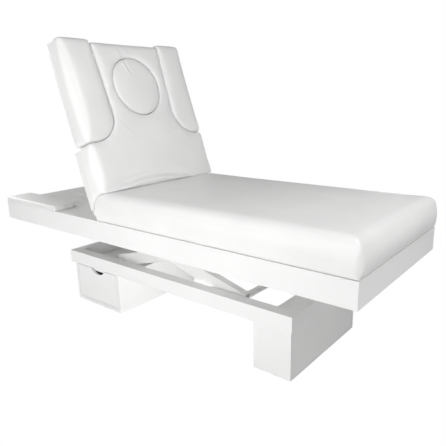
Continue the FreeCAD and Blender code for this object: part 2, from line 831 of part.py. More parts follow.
class Motor:
    """A linear motor between its rear pin and a lever's pin, drawn along its own X axis."""

    def __init__(self, name, y, lever_x, lever_z, travel_out, travel_in, slot_play, slot_rise, pin_radius):
        self.name = name
        self.y = y
        run = Term(lever_x) - motor_pin_x
        rise = Term(lever_z) - motor_pin_z
        self.frame = Frame(motor_pin_x, motor_pin_z, plain_angle(-rise, run))
        self.reach = call("sqrt", run * run + rise * rise)
        self.slot_half_length = pin_radius + slot_play
        self.slot_half_height = pin_radius + slot_rise
        self.travel_out = travel_out
        self.travel_in = travel_in

    def build(self):
        eye_start = self.reach - self.slot_half_length - size.rod_eye_wall
        mouth = eye_start - size.rod_reserve - self.travel_in
        rod_start = mouth - size.rod_engagement - self.travel_out
        bore_start = rod_start - self.travel_in - size.rod_play
        lug_half = size.lug_width / 2
        lug = (self.y - lug_half, self.y + lug_half)
        width_half = size.housing_width / 2
        housing_y = (self.y - width_half, self.y + width_half)
        housing_x = (size.housing_start, size.housing_start + size.housing_length)
        housing_z = (-size.housing_height / 2, size.motor_drop + size.motor_radius)
        lug_outline = link(size.housing_start, lug_half)
        bore = circle(self.y, 0, size.rod_radius + size.rod_play)
        can = circle(self.y, size.motor_drop, size.motor_radius - size.can_step)
        pin_bore = circle(0, 0, size.motor_pin_radius + size.running_clearance)
        solid([
            ("Pad", "XZ", [lug_outline], lug),
            ("Pad", "XZ", [rectangle(housing_x, housing_z)], housing_y),
            ("Pad", "YZ", [can], (housing_x[1], housing_x[1] + size.motor_length)),
            ("Pad", "YZ", [circle(self.y, 0, size.outer_tube_radius)], (housing_x[1], mouth)),
            ("Pocket", "YZ", [bore], (bore_start, mouth)),
            ("Pocket", "XZ", [pin_bore], lug),
        ], self.frame, f"{self.name}_motor")
        eye_x = (eye_start, self.reach + self.slot_half_length + size.rod_eye_wall)
        eye_half = self.slot_half_height + size.rod_eye_wall
        slot_x = (self.reach - self.slot_half_length, self.reach + self.slot_half_length)
        slot_z = (-self.slot_half_height, self.slot_half_height)
        solid([
            ("Pad", "YZ", [circle(self.y, 0, size.rod_radius)], (rod_start, eye_start)),
            ("Pad", "XZ", [rectangle(eye_x, (-eye_half, eye_half)), rectangle(slot_x, slot_z)], lug),
        ], self.frame, f"{self.name}_rod")


def motors():
    """Both motors push towards the head end, side by side under the deck."""
    lever_sin = call("sin", size.lift_lever_angle)
    lever_cos = call("cos", size.lift_lever_angle)
    lift_lever_x = pivot_x + size.lift_lever_length * lever_sin
    lift_lever_z = top_pivot_z - size.lift_lever_length * lever_cos
    lift = Motor("lift", size.motor_offset, lift_lever_x, lift_lever_z, size.lift_travel_out,
                 size.lift_travel_in, size.lift_slot_play, size.lift_slot_rise, size.lever_pin_radius)
    lift.build()
    turned = size.backrest_raise - size.backrest_lever_angle
    lever_x = hinge_x - size.backrest_lever_length * call("sin", turned)
    lever_z = hinge_z - size.backrest_lever_length * call("cos", turned)
    back = Motor("backrest", -size.motor_offset, lever_x, lever_z, size.backrest_travel_out,
                 size.backrest_travel_in, size.backrest_slot_play, size.backrest_slot_rise,
                 size.backrest_pin_radius)
    back.build()


def lift_lever():
    """The outer arms' upper shaft with two welded lever plates for the lift motor."""
    lever_frame = Frame(pivot_x, top_pivot_z, 90 - size.lift_lever_angle)
    shaft_end = rail_inner - size.roller_play
    near = size.motor_offset - size.lug_width / 2 - size.bracket_gap
    far = size.motor_offset + size.lug_width / 2 + size.bracket_gap
    plate = link(size.lift_lever_length, size.lever_eye)
    pin = circle(size.lift_lever_length, 0, size.lever_pin_radius)
    solid([
        ("Pad", "XZ", [circle(0, 0, size.shaft_radius)], (-shaft_end, shaft_end)),
        ("Pad", "XZ", [plate], (far, far + size.lever_plate)),
        ("Pad", "XZ", [plate], (near - size.lever_plate, near)),
        ("Pad", "XZ", [pin], (near - size.lever_plate, far + size.lever_plate)),
    ], lever_frame, "lift_lever_shaft")


def motor_brackets():
    """Welded brackets with the motors' rear pins."""
    brackets = []
    for side in (1, -1):
        y = side * size.motor_offset
        near = size.lug_width / 2 + size.bracket_gap
        far = near + size.bracket_plate
        plate = rectangle((motor_pin_x - size.bracket_eye, motor_tube_x - size.cross_tube_height / 2),
                          (motor_pin_z - size.bracket_eye, deck_under - size.bracket_gap))
        pin = circle(motor_pin_x, motor_pin_z, size.motor_pin_radius)
        brackets.append(solid([
            ("Pad", "XZ", [plate], (y + near, y + far)),
            ("Pad", "XZ", [pin], (y - far, y + far)),
            ("Pad", "XZ", [plate], (y - far, y - near)),
        ]))
    group("motor_brackets", brackets)


def hinges():
    """Two butt hinges between the boards' ends. The pins are fixed in the seat leaves' knuckles."""
    seat_leaves, back_leaves = [], []
    half = size.hinge_width / 2
    third = size.hinge_width / 6
    knuckle = circle(0, 0, size.knuckle_radius)
    pin = circle(0, 0, size.hinge_pin_radius)
    bore = circle(0, 0, size.hinge_pin_radius + size.running_clearance)
    inner_x = size.knuckle_radius - size.leaf_thickness
    relief = -size.knuckle_radius - size.knuckle_gap
    tall = rectangle((inner_x, size.knuckle_radius), (-size.leaf_height, 0))
    low_leaf = rectangle((inner_x, size.knuckle_radius), (-size.leaf_height, relief))
    mirrored_low = rectangle((-size.knuckle_radius, -inner_x), (-size.leaf_height, relief))
    mirrored_tall = rectangle((-size.knuckle_radius, -inner_x), (-size.leaf_height, 0))
    for side in sides.values():
        y = side * size.hinge_offset
        whole = (y - half, y + half)
        outer_spans = ((y - half, y - third), (y + third, y + half))
        middle = (y - third + size.knuckle_gap, y + third - size.knuckle_gap)
        steps = [("Pad", "XZ", [low_leaf], whole)]
        for span in outer_spans:
            steps.append(("Pad", "XZ", [tall], span))
            steps.append(("Pad", "XZ", [knuckle], span))
        steps.append(("Pad", "XZ", [pin], whole))
        seat_leaves.append(solid(steps, Frame(hinge_x, hinge_z, None)))
        back_leaves.append(solid([
            ("Pad", "XZ", [mirrored_low], whole),
            ("Pad", "XZ", [mirrored_tall], middle),
            ("Pad", "XZ", [knuckle], middle),
            ("Pocket", "XZ", [bore], middle),
        ], lying_backrest))
    group("hinge_seat_leaves", seat_leaves)
    group("hinge_backrest_leaves", back_leaves)


def seat():
    """A seat board under a mattress whose foot end and sides swell a little past the frame."""
    board_foot = foot_x - size.seat_board_inset
    board_half = half_width - size.seat_board_inset
    board_x = (hinge_x + seat_board_end, board_foot)
    board("seat_board", board_x, (-board_half, board_half), (frame_top, hinge_z))
    radius = size.mattress_corner_radius
    base_radius = size.mattress_base_radius
    profile = [
        (mattress_head, frame_top),
        (foot_x - base_radius, frame_top, base_radius * quarter_bow),
        (foot_x, frame_top + base_radius, size.foot_bulge),
        (foot_x, mattress_top - radius, radius * quarter_bow),
        (foot_x - radius, mattress_top, size.mattress_crown),
        (mattress_head + size.mattress_head_run, mattress_top, size.mattress_head_bow),
        (mattress_head, mattress_top - size.mattress_head_drop),
    ]
    section = cushion_section(-half_width, half_width, frame_top, mattress_top, size.mattress_edge_radius,
                              base_radius, size.mattress_crown, size.side_bulge)
    side = half_width + size.side_bulge
    foot = foot_x + size.foot_bulge
    plan = [
        (mattress_head, -side),
        (foot - radius, -side, radius * quarter_bow),
        (foot, radius - side),
        (foot, side - radius, radius * quarter_bow),
        (foot - radius, side),
        (mattress_head, side),
    ]
    reach_x = (head_x, foot_x + size.frame_width)
    reach_y = (-size.frame_width, size.frame_width)
    reach_z = (0, mattress_top + size.frame_width)
    pocket_half = board_half + size.board_gap
    pocket = rectangle((head_x, board_foot + size.board_gap), (-pocket_half, pocket_half))
    solid([
        ("Pad", "XY", [plan], (frame_top, mattress_top + size.mattress_crown * 2)),
        trim("XZ", profile, rectangle(reach_x, reach_z), reach_y),
        trim("YZ", section, rectangle(reach_y, reach_z), reach_x),
        ("Pocket", "XY", [pocket], (frame_bottom, hinge_z + size.board_gap)),
    ], name="mattress")


def arm_pads():
    """Thin upholstered pads on the deck beside the backrest, with one rounded inner corner."""
    inner = half_width - size.pad_width
    foot = head_x + size.pad_length
    corner = size.pad_corner
    outline = [
        (head_x, inner),
        (foot - corner, inner, corner * quarter_bow),
        (foot, inner + corner),
        (foot, half_width),
        (head_x, half_width),
    ]
    pad_top = frame_top + size.pad_thickness
    edge = size.pad_edge
    section = cushion_section(inner, half_width, frame_top, pad_top, edge, size.board_gap, size.pad_crown,
                              size.pad_crown)
    surround = rectangle((0, size.frame_width), (0, pad_top + size.frame_width))
    for label, side in sides.items():
        plan = outline if side > 0 else mirrored(outline, 1)
        shape = section if side > 0 else mirrored(section, 0)
        around = surround if side > 0 else mirrored(surround, 0)
        solid([
            ("Pad", "XY", [plan], (frame_top, pad_top + size.pad_crown * 2)),
            trim("YZ", shape, around, (head_x, foot)),
        ], name=f"arm_pad_{label}")


def into_backrest(x, z):
    """The place of a point of the bed in the lying backrest's own axes."""
    run = Term(x) - hinge_x
    rise = Term(z) - hinge_z
    cos = call("cos", size.backrest_raise)
    sin = call("sin", size.backrest_raise)
    return run * cos - rise * sin, run * sin + rise * cos


def out_of_backrest(x):
    """The place in the bed of a point on the lying backrest's X axis."""
    cos = call("cos", size.backrest_raise)
    sin = call("sin", size.backrest_raise)
    return hinge_x + x * cos, hinge_z - x * sin


def shoulder_outline(foot, shoulder, side, neck, top, radius, corner):
    """The backrest's outline: broad at the foot, with hollow shoulders running into the neck."""
    flare = (shoulder - radius - top) * size.neck_flare_share
    half = [
        (foot, side),
        (shoulder + corner, side, corner * quarter_bow),
        (shoulder, side - corner),
        (shoulder, neck + radius, -radius * quarter_bow),
        (shoulder - radius, neck),
        (top, neck + flare),
    ]
    other = []
    for place in reversed(range(len(half))):
        bow = half[place - 1][2:] if place else ()
        other.append((half[place][0], -Term(half[place][1])) + tuple(bow))
    return half + other


def backrest():
    """A board on hinges, under an upholstered section with a round face hole."""
    neck_board = size.neck_half_width - size.board_cover
    side_board = half_width - size.board_cover
    board_shoulder = shoulder_x + size.board_cover
    board_top = backrest_top_x + size.board_cover
    board_outline = [
        (-seat_board_end, side_board),
        (board_shoulder, side_board),
        (board_shoulder, neck_board),
        (board_top, neck_board),
        (board_top, -neck_board),
        (board_shoulder, -neck_board),
        (board_shoulder, -side_board),
        (-seat_board_end, -side_board),
    ]
    face_bore = circle(plug_x, 0, size.face_bore_radius)
    solid([("Pad", "XY", [board_outline, face_bore], (backrest_back, board_front))], lying_backrest,
          "backrest_board")

    gap = size.crease_gap
    low_x, low_z = into_backrest(mattress_head - gap, mattress_top - size.mattress_head_drop)
    high_x, high_z = into_backrest(mattress_head + size.mattress_head_run, mattress_top + gap)
    bow = size.mattress_head_bow + gap * size.crease_bow_share
    edge = size.cushion_edge
    back_edge = size.cushion_back_edge
    tail = -size.backrest_tail
    profile = [
        (tail, backrest_back),
        (tail, board_front),
        (low_x, low_z, -bow),
        (high_x, high_z),
        (crease_x, backrest_front, size.backrest_crown),
        (backrest_top_x + edge, backrest_front, edge * quarter_bow),
        (backrest_top_x, backrest_front - edge, size.cushion_swell),
        (backrest_top_x, backrest_back + back_edge, back_edge * quarter_bow),
        (backrest_top_x + back_edge, backrest_back),
    ]
    section = cushion_section(-half_width, half_width, backrest_back, backrest_front, edge, back_edge,
                              size.backrest_crown, size.cushion_swell)
    swollen_top = backrest_top_x - size.cushion_swell
    swollen_side = half_width + size.cushion_swell
    outline = shoulder_outline(tail, shoulder_x, swollen_side, size.neck_half_width, swollen_top,
                               shoulder_radius, size.cushion_corner)
    fit = size.board_gap
    pocket_outline = [
        (size.frame_width, side_board + fit),
        (board_shoulder - fit, side_board + fit),
        (board_shoulder - fit, neck_board + fit),
        (board_top - fit, neck_board + fit),
        (board_top - fit, -fit - neck_board),
        (board_shoulder - fit, -fit - neck_board),
        (board_shoulder - fit, -fit - side_board),
        (size.frame_width, -fit - side_board),
    ]
    reach_x = (-size.frame_length, size.frame_width)
    reach_y = (-size.frame_width, size.frame_width)
    reach_z = (-size.frame_width, size.frame_width)
    plug_hole = circle(plug_x, 0, size.plug_radius + size.plug_gap)
    steps = [
        ("Pad", "XY", [outline], (backrest_back, backrest_front + size.backrest_crown * 2)),
        trim("XZ", profile, rectangle(reach_x, reach_z), reach_y),
        trim("YZ", section, rectangle(reach_y, reach_z), reach_x),
        ("Pocket", "XY", [plug_hole], (backrest_back, size.frame_width)),
        ("Pocket", "XY", [pocket_outline], (reach_z[0], board_front + fit)),
    ]
    sockets = []
    for place in (size.strip_bar_near, size.strip_bar_far):
        x = crease_x - place
        half = size.socket_size / 2
        block = rectangle((x - half, x + half), (board_front, board_front + size.socket_height))
        channel = bar_section(place, size.running_clearance)
        for side in sides.values():
            span = sided(side, size.socket_end, size.socket_end + size.socket_length)
            sockets.append(solid([("Pad", "XZ", [block, channel], span)], lying_backrest))
            room_y = sided(side, size.socket_end - fit, size.neck_half_width + fit)
            room = rectangle((x - half - fit, x + half + fit), room_y)
            steps.append(("Pocket", "XY", [room], (backrest_back, board_front + size.socket_height + fit)))
            way = bar_section(place, fit)
            steps.append(("Pocket", "XZ", [way], sided(side, size.socket_end, half_width)))
    group("armrest_sockets", sockets)
    solid(steps, lying_backrest, "backrest_cushion")

    pin_x = size.backrest_lever_length * call("sin", size.backrest_lever_angle)
    pin_z = -size.backrest_lever_length * call("cos", size.backrest_lever_angle)
    eye = size.backrest_eye
    slope_x = eye * call("sin", size.backrest_lever_slope)
    slope_z = eye * call("cos", size.backrest_lever_slope)
    foot_x_range = (-size.lever_foot_start - size.lever_foot_length, -size.lever_foot_start)
    foot_half = size.lever_foot_width / 2
    foot_y = (-size.motor_offset - foot_half, foot_half - size.motor_offset)
    foot_z = (backrest_back - size.lever_foot_thickness, backrest_back)
    plate_z = backrest_back - size.lever_foot_thickness / 2
    plate = [
        (foot_x_range[0] + size.lever_foot_start, plate_z),
        (pin_x - slope_x, pin_z - slope_z),
        (pin_x + slope_x, pin_z + slope_z),
        (foot_x_range[1], plate_z),
    ]
    near = size.lug_width / 2 + size.bracket_gap
    far = near + size.lever_plate
    steps = [("Pad", "XY", [rectangle(foot_x_range, foot_y)], foot_z)]
    middle_y = -size.motor_offset
    for span in ((middle_y - far, middle_y - near), (middle_y + near, middle_y + far)):
        steps.append(("Pad", "XZ", [plate], span))
        steps.append(("Pad", "XZ", [circle(pin_x, pin_z, eye)], span))
    steps.append(("Pad", "XZ", [circle(pin_x, pin_z, size.backrest_pin_radius)],
                  (middle_y - far, middle_y + far)))
    solid(steps, lying_backrest, "backrest_lever")


def bar_section(place, clearance):
    """The cross-section of an armrest's bar at a distance from the crease, widened by a clearance."""
    half = size.strip_bar / 2 + clearance
    x = crease_x - place
    return rectangle((x - half, x + half), (size.strip_bar_height - half, size.strip_bar_height + half))


def strip_outline(inset):
    """The left side cushion's outline, with the large corner that fits the backrest's shoulder."""
    foot = shoulder_x - size.strip_gap - inset
    top = strip_top_x + inset
    inner = size.neck_half_width + size.strip_gap + inset
    outer = half_width - inset
    radius = shoulder_radius - size.strip_gap - inset
    flare = (foot - radius - top) * size.neck_flare_share
    return [
        (foot, inner + radius),
        (foot, outer),
        (top, outer),
        (top, inner + flare),
        (foot - radius, inner, radius * quarter_bow),
    ]


def armrests():
    """Side cushions on plates whose two square bars slide into sockets behind the backrest."""
    inner = size.neck_half_width + size.strip_gap
    fit = size.board_gap
    plate_z = (size.strip_lift, size.strip_lift + size.strip_plate)
    outline = strip_outline(0)
    foot = shoulder_x - size.strip_gap
    profile = cushion_section(strip_top_x, foot, size.strip_lift, backrest_front, size.cushion_edge,
                              size.cushion_back_edge, size.cushion_swell, size.deck_gap)
    section = cushion_section(inner, half_width, size.strip_lift, backrest_front, size.cushion_edge,
                              size.cushion_back_edge, size.cushion_swell, size.deck_gap / 2)
    reach_x = (-size.frame_length, size.frame_width)
    reach_z = (-size.frame_width, size.frame_width)
    section_room = rectangle((0, size.frame_width), reach_z)
    for label, side in sides.items():
        def turn(corners, axis=1):
            return corners if side > 0 else mirrored(corners, axis)
        steps = [
            ("Pad", "XY", [turn(outline)], (size.strip_lift, backrest_front + size.cushion_swell)),
            trim("XZ", profile, rectangle(reach_x, reach_z), (-size.frame_width, size.frame_width)),
            trim("YZ", turn(section, 0), turn(section_room, 0), reach_x),
            ("Pocket", "XY", [turn(strip_outline(size.strip_plate_inset - fit))], (0, plate_z[1] + fit)),
        ]
        frame_steps = [("Pad", "XY", [turn(strip_outline(size.strip_plate_inset))], plate_z)]
        bar_end = half_width - size.strip_bar_inset
        for place in (size.strip_bar_near, size.strip_bar_far):
            steps.append(("Pocket", "XZ", [bar_section(place, fit)], sided(side, 0, bar_end + fit)))
            bar = bar_section(place, 0)
            frame_steps.append(("Pad", "XZ", [bar], sided(side, size.strip_bar_end, bar_end)))
        solid(steps, lying_backrest, f"armrest_{label}_cushion")
        solid(frame_steps, lying_backrest, f"armrest_{label}_frame")


def face_plug():
    """A round cushion on a round board that fills the face hole and lifts out."""
    middle_x, middle_z = out_of_backrest(plug_x)
    frame = Frame(middle_x, middle_z, size.backrest_raise)
    low = board_front + size.board_gap
    high = low + size.plug_board_thickness
    board_radius = size.plug_radius - size.plug_board_margin
    solid([("Pad", "XY", [circle(0, 0, board_radius)], (low, high))], frame, "face_plug_board")
    edge = size.plug_edge
    profile = [
        (0, high),
        (size.plug_radius, high),
        (size.plug_radius, backrest_front - edge),
        (size.plug_radius - edge * quarter_bow, backrest_front - edge * quarter_bow),
        (size.plug_radius - edge, backrest_front),
        (size.plug_radius / 2, backrest_front + size.plug_crown * size.plug_rise_share),
        (0, backrest_front + size.plug_crown),
    ]
    solid([("Revolution", "XZ", [profile], (0, 0))], frame, "face_plug_cushion")


base_frame()
head_cabinet()
drawer()
leg_cabinet()
tracks_and_blocks()
arms()
rollers()
upper_frame()
seat()
arm_pads()
lift_lever()
motors()
motor_brackets()
hinges()
backrest()
armrests()
face_plug()
document.recompute()

broken = []
for name, piece in nodes.items():
    state = {"Invalid", "Error"} & set(piece.State)
    if state or piece.Shape.isNull() or not piece.Shape.isValid():
        broken.append(name)
for member in document.Objects:
    if {"Invalid", "Error"} & set(member.State):
        broken.append(member.Name)
if broken:
    raise SystemExit(f"Failed pieces: {sorted(set(broken))}")

os.makedirs("parts", exist_ok=True)
for name, piece in nodes.items():
    piece.Shape.exportStep(f"parts/{name}.step")
    bounds = piece.Shape.BoundBox
    print(f"{name}: {len(piece.Shape.Solids)} solids, x {bounds.XMin:.1f} to {bounds.XMax:.1f}, "
          f"y {bounds.YMin:.1f} to {bounds.YMax:.1f}, z {bounds.ZMin:.1f} to {bounds.ZMax:.1f}")
print(len(nodes), "pieces")
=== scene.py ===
import json
import math

import bmesh
import bpy
import numpy as np
from mathutils import Matrix, Vector


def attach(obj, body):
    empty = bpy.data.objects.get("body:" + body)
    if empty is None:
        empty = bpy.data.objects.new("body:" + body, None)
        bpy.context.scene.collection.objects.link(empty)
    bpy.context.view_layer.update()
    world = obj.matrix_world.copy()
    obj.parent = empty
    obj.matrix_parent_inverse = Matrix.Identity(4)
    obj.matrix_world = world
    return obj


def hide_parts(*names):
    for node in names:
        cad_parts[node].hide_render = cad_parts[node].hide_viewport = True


# Electric spa bed in white leatherette and white painted board.
# All lengths are in metres. X runs to the foot end, -Y to the drawer side and Z up.

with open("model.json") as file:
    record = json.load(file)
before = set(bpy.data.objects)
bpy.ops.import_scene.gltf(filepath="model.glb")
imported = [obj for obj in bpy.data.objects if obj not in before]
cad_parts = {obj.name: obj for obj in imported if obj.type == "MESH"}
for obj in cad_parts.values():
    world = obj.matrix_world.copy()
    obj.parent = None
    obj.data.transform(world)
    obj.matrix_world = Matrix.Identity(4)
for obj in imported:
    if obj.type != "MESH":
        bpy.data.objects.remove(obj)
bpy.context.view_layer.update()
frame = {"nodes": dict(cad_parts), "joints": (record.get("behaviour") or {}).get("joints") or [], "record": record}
record = frame["record"]
joints = {joint["name"]: joint for joint in frame["joints"]}


# Shader nodes

def link(tree, value, socket):
    """Feeds a socket from a node's output, or sets it to a plain value."""
    if isinstance(value, bpy.types.NodeSocket):
        tree.links.new(value, socket)
    else:
        socket.default_value = value


def node(tree, kind, inputs=None, **settings):
    made = tree.nodes.new(kind)
    for key, value in settings.items():
        setattr(made, key, value)
    for key, value in (inputs or {}).items():
        link(tree, value, made.inputs[key])
    return made


def arithmetic(tree, operation, first, second):
    return node(tree, "ShaderNodeMath", {0: first, 1: second}, operation=operation).outputs[0]


def span(tree, value, low, high, out_low=0.0, out_high=1.0):
    inputs = {"Value": value, "From Min": low, "From Max": high, "To Min": out_low, "To Max": out_high}
    return node(tree, "ShaderNodeMapRange", inputs).outputs[0]


def noise(tree, place, scale, detail=3.0, roughness=0.5):
    inputs = {"Vector": place, "Scale": scale, "Detail": detail, "Roughness": roughness}
    return node(tree, "ShaderNodeTexNoise", inputs).outputs[0]


def mix_colour(tree, factor, first, second):
    made = node(tree, "ShaderNodeMix", data_type="RGBA")
    link(tree, factor, made.inputs[0])
    link(tree, first, made.inputs[6])
    link(tree, second, made.inputs[7])
    return made.outputs[2]


def bump(tree, height, distance, strength=1.0, normal=None):
    inputs = {"Height": height, "Distance": distance, "Strength": strength}
    if normal is not None:
        inputs["Normal"] = normal
    return node(tree, "ShaderNodeBump", inputs).outputs[0]


def worn_edges(tree, radius):
    """A factor that is high along convex edges, and a normal rounded over them."""
    bevel = node(tree, "ShaderNodeBevel", {"Radius": radius}, samples=6).outputs[0]
    flat = node(tree, "ShaderNodeNewGeometry").outputs["Normal"]
    made = node(tree, "ShaderNodeVectorMath", {0: bevel, 1: flat}, operation="DOT_PRODUCT")
    return span(tree, made.outputs["Value"], 0.9, 1.0, 1.0, 0.0), bevel


def start_material(name):
    material = bpy.data.materials.new(name)
    material.use_nodes = True
    tree = material.node_tree
    tree.nodes.clear()
    output = node(tree, "ShaderNodeOutputMaterial")
    surface = node(tree, "ShaderNodeBsdfPrincipled")
    tree.links.new(surface.outputs[0], output.inputs[0])
    place = node(tree, "ShaderNodeTexCoord").outputs["Object"]
    return material, tree, surface, place


def leatherette():
    """White leatherette: a fine pebble grain, soft undulation of the foam and slight yellowing."""
    material, tree, surface, place = start_material("leatherette")
    tone = noise(tree, place, 5.0, 4.0)
    colour = mix_colour(tree, span(tree, tone, 0.35, 0.7), (0.83, 0.83, 0.825, 1), (0.87, 0.868, 0.86, 1))
    pebble = node(tree, "ShaderNodeTexVoronoi", {"Vector": place, "Scale": 620.0}, feature="SMOOTH_F1")
    fold = noise(tree, place, 260.0, 4.0, 0.65)
    grain = arithmetic(tree, "MULTIPLY_ADD", pebble.outputs[0], 0.7)
    tree.links.new(fold, grain.node.inputs[2])
    soft = noise(tree, place, 9.0, 2.0)
    normal = bump(tree, soft, 0.004, 0.35)
    normal = bump(tree, grain, 0.00035, 0.55, normal)
    gloss = noise(tree, place, 70.0, 3.0)
    link(tree, colour, surface.inputs["Base Color"])
    link(tree, span(tree, gloss, 0.3, 0.7, 0.4, 0.52), surface.inputs["Roughness"])
    link(tree, normal, surface.inputs["Normal"])
    surface.inputs["Specular IOR Level"].default_value = 0.42
    surface.inputs["Coat Weight"].default_value = 0.08
    surface.inputs["Coat Roughness"].default_value = 0.35
    surface.inputs["Sheen Weight"].default_value = 0.05
    return material


def painted_board():
    """Satin white paint on board, with a faint roller texture and rubbed edges."""
    material, tree, surface, place = start_material("painted_board")
    edges, rounded = worn_edges(tree, 0.0016)
    patches = span(tree, noise(tree, place, 60.0, 5.0), 0.45, 0.75, 0.0, 0.5)
    rub = arithmetic(tree, "MULTIPLY", edges, patches)
    tone = span(tree, noise(tree, place, 3.0, 3.0), 0.3, 0.7)
    paint = mix_colour(tree, tone, (0.85, 0.85, 0.845, 1), (0.88, 0.88, 0.875, 1))
    colour = mix_colour(tree, rub, paint, (0.7, 0.68, 0.64, 1))
    peel = noise(tree, place, 900.0, 2.0)
    link(tree, colour, surface.inputs["Base Color"])
    link(tree, span(tree, noise(tree, place, 40.0), 0.3, 0.7, 0.33, 0.43), surface.inputs["Roughness"])
    link(tree, bump(tree, peel, 0.00012, 0.4, rounded), surface.inputs["Normal"])
    return material


def painted_steel():
    """White powder coat with its fine dimples, and small scratches that show grey."""
    material, tree, surface, place = start_material("painted_steel")
    edges, rounded = worn_edges(tree, 0.0012)
    streaks = node(tree, "ShaderNodeMapping", {"Vector": place, "Scale": (14.0, 220.0, 220.0)}).outputs[0]
    scratch = span(tree, noise(tree, streaks, 3.0, 6.0, 0.7), 0.72, 0.78, 0.0, 0.35)
    wear = arithmetic(tree, "MAXIMUM", scratch, arithmetic(tree, "MULTIPLY", edges, 0.25))
    colour = mix_colour(tree, wear, (0.84, 0.84, 0.835, 1), (0.55, 0.55, 0.55, 1))
    dimples = node(tree, "ShaderNodeTexVoronoi", {"Vector": place, "Scale": 1100.0}).outputs[0]
    link(tree, colour, surface.inputs["Base Color"])
    link(tree, span(tree, wear, 0, 0.4, 0.36, 0.5), surface.inputs["Roughness"])
    link(tree, bump(tree, dimples, 0.0001, 0.5, rounded), surface.inputs["Normal"])
    return material


def zinc_steel():
    """Zinc plate: a bluish grey with a faint crystal pattern and turned marks."""
    material, tree, surface, place = start_material("zinc_steel")
    edges, rounded = worn_edges(tree, 0.0006)
    crystals = node(tree, "ShaderNodeTexVoronoi", {"Vector": place, "Scale": 240.0}, feature="F1")
    tint = node(tree, "ShaderNodeRGBToBW", {0: crystals.outputs[1]}).outputs[0]
    colour = mix_colour(tree, span(tree, tint, 0, 1), (0.5, 0.51, 0.53, 1), (0.66, 0.67, 0.69, 1))
    surface.inputs["Metallic"].default_value = 0.92
    link(tree, mix_colour(tree, edges, colour, (0.8, 0.8, 0.82, 1)), surface.inputs["Base Color"])
    link(tree, span(tree, noise(tree, place, 150.0), 0.3, 0.7, 0.3, 0.42), surface.inputs["Roughness"])
    marks = noise(tree, place, 1500.0, 2.0)
    link(tree, bump(tree, marks, 0.00004, 0.4, rounded), surface.inputs["Normal"])
    return material


def moulded_plastic(name, dark, light, roughness):
    """Moulded plastic with a spark-eroded texture."""
    material, tree, surface, place = start_material(name)
    edges, rounded = worn_edges(tree, 0.0014)
    tone = span(tree, noise(tree, place, 12.0, 4.0), 0.3, 0.7)
    colour = mix_colour(tree, tone, (*dark, 1), (*light, 1))
    lighter = [channel * 1.25 for channel in light]
    rub = arithmetic(tree, "MULTIPLY", edges, 0.3)
    gloss = span(tree, noise(tree, place, 90.0), 0.3, 0.7, roughness, roughness + 0.1)
    link(tree, mix_colour(tree, rub, colour, (*lighter, 1)), surface.inputs["Base Color"])
    link(tree, gloss, surface.inputs["Roughness"])
    grain = noise(tree, place, 1400.0, 3.0, 0.6)
    link(tree, bump(tree, grain, 0.00012, 0.6, rounded), surface.inputs["Normal"])
    return material


def plywood():
    """Birch plywood: long grain streaks and a warm pale colour."""
    material, tree, surface, place = start_material("plywood")
    edges, rounded = worn_edges(tree, 0.001)
    stretched = node(tree, "ShaderNodeMapping", {"Vector": place, "Scale": (3.0, 40.0, 40.0)}).outputs[0]
    streak = noise(tree, stretched, 4.0, 8.0, 0.62)
    colour = mix_colour(tree, span(tree, streak, 0.3, 0.72), (0.66, 0.5, 0.32, 1), (0.79, 0.65, 0.47, 1))
    plies = node(tree, "ShaderNodeTexWave", {"Vector": place, "Scale": 110.0, "Distortion": 0.4},
                 bands_direction="Z").outputs[1]
    colour = mix_colour(tree, arithmetic(tree, "MULTIPLY", plies, 0.22), colour, (0.42, 0.29, 0.17, 1))
    link(tree, colour, surface.inputs["Base Color"])
    link(tree, span(tree, streak, 0.3, 0.7, 0.55, 0.7), surface.inputs["Roughness"])
    link(tree, bump(tree, streak, 0.0003, 0.35, rounded), surface.inputs["Normal"])
    return material


black_plastic = moulded_plastic("motor_housing", (0.035, 0.035, 0.038), (0.055, 0.055, 0.058), 0.45)
white_nylon = moulded_plastic("roller_nylon", (0.7, 0.7, 0.67), (0.78, 0.78, 0.75), 0.35)
materials = {
    "leatherette": leatherette(),
    "painted_board": painted_board(),
    "painted_steel": painted_steel(),
    "zinc_steel": zinc_steel(),
    "motor_housing": black_plastic,
    "roller_nylon": white_nylon,
    "plain_board": plywood(),
}
materials["covered_board"] = materials["leatherette"]


def dress_frame():
    """Gives each CAD piece the material of its slot."""
    for part in record["subparts"]:
        item = frame["nodes"][part["node"]]
        item.data.materials.clear()
        item.data.materials.append(materials[part["material_slot"]])


dress_frame()


# Soft pieces

# The backrest's sizes are along its own axes, from the hinge
hinge = np.array(joints["backrest_tilt"]["pos_m"])
raise_angle = math.radians(71)
turn = np.array(Matrix.Rotation(raise_angle, 3, "Y"))
half_width = 0.38
face_height = 0.113
plug_centre = np.array([-0.578, 0.0])
plug_radius = 0.145

# The mattress and pads lie on the board, and their lowest 2 mm are neither relaxed nor swollen
board_top = 0.507
soft_base = board_top + 0.002

# Shares of a move along each axis
upright = np.array([0, 0, 1])
level = np.array([1, 1, 0])

weld_distance = 1e-5
tiny = 1e-9
cloth_frames = 14
cloth_pressure = 3.0
cloth_stiffness = 12.0
cloth_bending = 4.0
cloth_mass = 0.25
settle_rounds = 2
corner_rounds = 16
corner_reach = 0.07
corner_core = 0.03
outer_band = 0.05
outer_rim = 0.01


def copy_mesh(name, source):
    """A new object with the welded mesh of a CAD solid."""
    mesh = frame["nodes"][source].data.copy()
    work = bmesh.new()
    work.from_mesh(mesh)
    bmesh.ops.remove_doubles(work, verts=work.verts, dist=weld_distance)
    work.to_mesh(mesh)
    work.free()
    mesh.materials.clear()
    item = bpy.data.objects.new(name, mesh)
    bpy.context.scene.collection.objects.link(item)
    return item


def apply_modifiers(item):
    """Replaces the object's mesh by the result of its modifiers."""
    graph = bpy.context.evaluated_depsgraph_get()
    made = bpy.data.meshes.new_from_object(item.evaluated_get(graph))
    item.modifiers.clear()
    item.data = made


